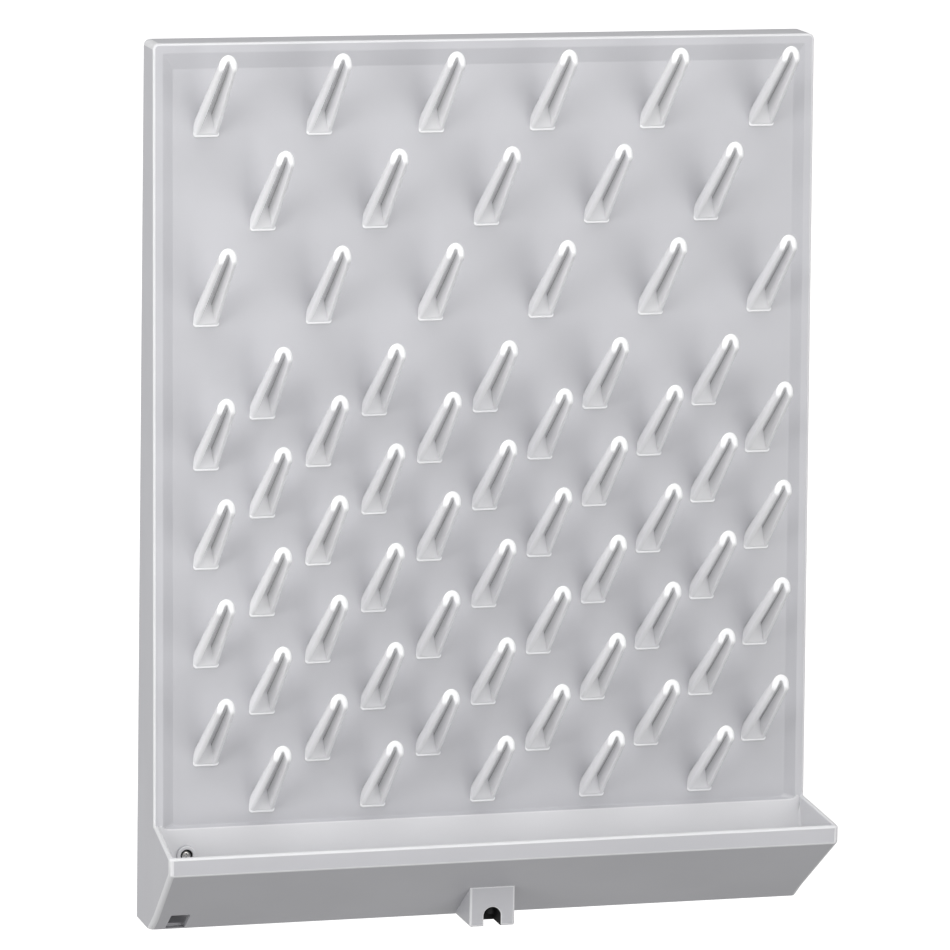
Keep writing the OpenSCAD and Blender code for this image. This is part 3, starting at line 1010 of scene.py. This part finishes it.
def moulded(name, light, dark, roughness, grain_mm, depth_mm, pale, crease, reach_mm):
    """Injection-moulded polystyrene: an even colour that shifts slightly with the flow
    of the melt, a fine spark-eroded grain in the gloss, painted highlights that make the
    marked faces paler, and painted shade that greys the creases and hollows. The real
    grain is some 0.05 mm wide, and it is drawn as coarse as it needs to show."""
    flow_mm = 90
    material, tree, place = finish(name)
    flow = add(
        tree,
        "ShaderNodeTexNoise",
        values={"Scale": 1000 / flow_mm, "Detail": 3},
        links={"Vector": place},
    )
    tone = add(tree, "ShaderNodeValToRGB", links={"Fac": flow.outputs["Fac"]})
    for stop, position, code in zip(tone.color_ramp.elements, (0.35, 0.65), (dark, light)):
        stop.position, stop.color = position, linear(code)
    # Painted highlights: the marked faces are mixed towards white.
    edge = add(tree, "ShaderNodeAttribute", {"attribute_name": "painted_light"})
    highlight_share = add(
        tree,
        "ShaderNodeMapRange",
        values={"To Min": 0, "To Max": pale},
        links={"Value": edge.outputs["Fac"]},
    )
    highlighted = add(
        tree,
        "ShaderNodeMix",
        {"data_type": "RGBA"},
        {MIX_SECOND: linear("#FFFFFF")},
        {MIX_SHARE: highlight_share.outputs["Result"], MIX_FIRST: tone.outputs["Color"]},
    )
    # Painted shade: ambient occlusion mixes the colour towards near black in creases and hollows.
    outer = add(
        tree, "ShaderNodeAmbientOcclusion", {"samples": 8}, {"Distance": reach_mm * 0.001}
    )
    shade = add(
        tree,
        "ShaderNodeMapRange",
        values={"From Min": 0.2, "From Max": 0.41, "To Min": crease, "To Max": 0},
        links={"Value": outer.outputs["AO"]},
    )
    crease_shaded = add(
        tree,
        "ShaderNodeMix",
        {"data_type": "RGBA"},
        {MIX_SECOND: linear("#141415")},
        {MIX_SHARE: shade.outputs["Result"], MIX_FIRST: highlighted.outputs[MIX_RESULT]},
    )
    grain = add(
        tree,
        "ShaderNodeTexNoise",
        values={"Scale": 1000 / grain_mm, "Detail": 2},
        links={"Vector": place},
    )
    spread_by = 0.05
    rough = add(
        tree,
        "ShaderNodeMapRange",
        values={
            "From Min": 0.3,
            "From Max": 0.7,
            "To Min": roughness - spread_by,
            "To Max": roughness + spread_by,
        },
        links={"Value": grain.outputs["Fac"]},
    )
    bump = add(
        tree,
        "ShaderNodeBump",
        values={"Strength": 1, "Distance": depth_mm * 0.001},
        links={"Height": grain.outputs["Fac"]},
    )
    surface = add(
        tree,
        "ShaderNodeBsdfPrincipled",
        values={"IOR": 1.59},
        links={
            "Base Color": crease_shaded.outputs[MIX_RESULT],
            "Roughness": rough.outputs["Result"],
            "Normal": bump.outputs["Normal"],
        },
    )
    add(tree, "ShaderNodeOutputMaterial", links={"Surface": surface.outputs["BSDF"]})
    return material


def rubber():
    """Moulded black rubber, dulled a little by a fine bloom on its surface, which is
    drawn as coarse as it needs to show. The same black is painted shade in the screw's
    cross recess."""
    bloom_mm = 1.2
    material, tree, place = finish("black rubber and painted shade")
    bloom = add(
        tree,
        "ShaderNodeTexNoise",
        values={"Scale": 1000 / bloom_mm, "Detail": 3},
        links={"Vector": place},
    )
    tone = add(tree, "ShaderNodeValToRGB", links={"Fac": bloom.outputs["Fac"]})
    for stop, code in zip(tone.color_ramp.elements, ("#0C0C0D", "#1C1C1D")):
        stop.color = linear(code)
    surface = add(
        tree,
        "ShaderNodeBsdfPrincipled",
        values={"Roughness": 0.75},
        links={"Base Color": tone.outputs["Color"]},
    )
    add(tree, "ShaderNodeOutputMaterial", links={"Surface": surface.outputs["BSDF"]})
    return material


def steel():
    """Bright turned steel, tumbled after turning: its gloss varies in fine specks, which
    are drawn as coarse as they need to show."""
    speck_mm = 0.4
    material, tree, place = finish("bright turned steel")
    specks = add(
        tree,
        "ShaderNodeTexNoise",
        values={"Scale": 1000 / speck_mm, "Detail": 2},
        links={"Vector": place},
    )
    rough = add(
        tree,
        "ShaderNodeMapRange",
        values={"To Min": 0.18, "To Max": 0.4},
        links={"Value": specks.outputs["Fac"]},
    )
    surface = add(
        tree,
        "ShaderNodeBsdfPrincipled",
        values={"Base Color": linear("#E6E4DF"), "Metallic": 1},
        links={"Roughness": rough.outputs["Result"]},
    )
    add(tree, "ShaderNodeOutputMaterial", links={"Surface": surface.outputs["BSDF"]})
    return material


def hand_over(piece, name, material, node):
    """Lowers a finished piece to the frame's z, names it, gives it the finish if it has none,
    hangs it from the root's empty and hides the CAD part that it stands in for.
    """
    move(piece, z=LOWER_EDGE)
    piece.name = piece.data.name = name
    if not piece.data.materials:
        piece.data.materials.append(material)
    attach(piece, "root")
    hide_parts(node)


# ---------------------------------------------------------------- the rack

satin = moulded(
    "satin moulded polystyrene",
    "#BFBFC3",
    "#BABABE",
    roughness=0.36,
    grain_mm=0.5,
    depth_mm=0.01,
    pale=0.42,
    crease=1,
    reach_mm=12,
)
glossy = moulded(
    "glossy white polystyrene",
    "#F4F4F5",
    "#F0F0F2",
    roughness=0.2,
    grain_mm=0.8,
    depth_mm=0.004,
    pale=0.1,
    crease=0.7,
    reach_mm=25,
)
metal = steel()
black = rubber()

rack = make_housing()
# Painted highlights on the fillets, and painted light that makes the trough's inner faces paler.
mark_edges(rack, in_trough)
smooth(rack)
hand_over(rack, "moulded_housing", satin, "housing")

short_peg, long_peg = make_peg(PEG_LEN), make_peg(LONG_PEG_LEN)
for row in range(ROWS):
    pegs = make_row(row, short_peg, long_peg)
    hand_over(pegs, f"pegs_row_{row + 1:02d}", glossy, f"peg_row_{row + 1:02d}")
bpy.data.objects.remove(short_peg)
bpy.data.objects.remove(long_peg)

hand_over(make_screw(), "collar_screw", metal, "wall_screw")

# ---------------------------------------------------------------- studio

# The flag's corners are in the housing's millimetres, and all else here is in metres.
FLAG_LOW, FLAG_HIGH = (-223, 3, 1), (-190, 4, 62)
FLOOR_Z, FLOOR_R = -1.9, 40
SKY_FRONT, SKY_BACK = 0.37, 0.52
CAMERA_PLACE = (-1.16294, -4.09855, 0.52576)
CAMERA_TURN = (79.4124, -0.9958, -15.7029)
FOCAL_LENGTH, FILM_WIDTH = 246.316, 36


def make_floor():
    """A wide sheet of pale paper that glows a little, so that it stays even."""
    rest()
    bpy.ops.mesh.primitive_circle_add(
        vertices=96, radius=FLOOR_R, fill_type="NGON", location=(0, 0, FLOOR_Z)
    )
    floor = begin("floor")
    rest()
    paper, tree, place = finish("pale studio floor")
    mottle = add(tree, "ShaderNodeTexNoise", values={"Scale": 0.5}, links={"Vector": place})
    tone = add(tree, "ShaderNodeValToRGB", links={"Fac": mottle.outputs["Fac"]})
    for stop, code in zip(tone.color_ramp.elements, ("#FAFAFA", "#FFFFFF")):
        stop.color = linear(code)
    surface = add(
        tree,
        "ShaderNodeBsdfPrincipled",
        values={"Roughness": 0.9, "Emission Strength": 0.75},
        links={"Base Color": tone.outputs["Color"], "Emission Color": tone.outputs["Color"]},
    )
    add(tree, "ShaderNodeOutputMaterial", links={"Surface": surface.outputs["BSDF"]})
    floor.data.materials.append(paper)
    floor.visible_diffuse = floor.visible_glossy = False


def make_flag():
    """A small black flag that keeps the light out of the hollow behind the hose notch."""
    flag = block("flag", FLAG_LOW, FLAG_HIGH)
    move(flag, z=LOWER_EDGE)
    flag.data.materials.append(black)
    flag.visible_camera = False


def lamp(name, energy, size, place, target):
    """A soft box that looks at the target."""
    data = bpy.data.lights.new(name, "AREA")
    data.shape = "RECTANGLE"
    data.energy = energy
    data.size, data.size_y = size
    light = bpy.data.objects.new(name, data)
    light.location = place
    light.rotation_euler = (Vector(target) - Vector(place)).to_track_quat("-Z", "Y").to_euler()
    bpy.context.collection.objects.link(light)


def make_sky():
    """Soft light from all round, weaker from the front than from the wall's side."""
    world = bpy.data.worlds.new("studio")
    bpy.context.scene.world = world
    world.use_nodes = True
    sky = world.node_tree
    sky.nodes.clear()
    way = add(sky, "ShaderNodeTexCoord").outputs["Generated"]
    depth = add(sky, "ShaderNodeSeparateXYZ", links={"Vector": way}).outputs["Y"]
    fade = add(
        sky,
        "ShaderNodeMapRange",
        values={"From Min": -0.3, "From Max": 0.3, "To Min": SKY_FRONT, "To Max": SKY_BACK},
        links={"Value": depth},
    )
    shine = add(
        sky,
        "ShaderNodeBackground",
        values={"Color": (1, 1, 1, 1)},
        links={"Strength": fade.outputs["Result"]},
    )
    add(sky, "ShaderNodeOutputWorld", links={"Surface": shine.outputs["Background"]})


def make_camera():
    """A long lens, from the left and a little above."""
    view = bpy.data.cameras.new("camera")
    view.lens, view.sensor_width = FOCAL_LENGTH, FILM_WIDTH
    view.clip_end = 200
    camera = bpy.data.objects.new("camera", view)
    camera.location = CAMERA_PLACE
    camera.rotation_euler = [math.radians(angle) for angle in CAMERA_TURN]
    bpy.context.collection.objects.link(camera)
    bpy.context.scene.camera = camera
    bpy.context.scene.view_settings.view_transform = "Standard"


make_floor()
make_flag()
lamp("overhead", energy=39, size=(2.6, 2.2), place=(-0.2, -1.7, 1.7), target=(0, 0, -0.3))
lamp("front right", energy=33, size=(2.6, 2.4), place=(1.3, -3, -0.1), target=(0, 0, -0.25))
lamp("left", energy=26, size=(1.4, 1.6), place=(-2.1, -0.9, -0.1), target=(0, 0, -0.25))
make_sky()
make_camera()
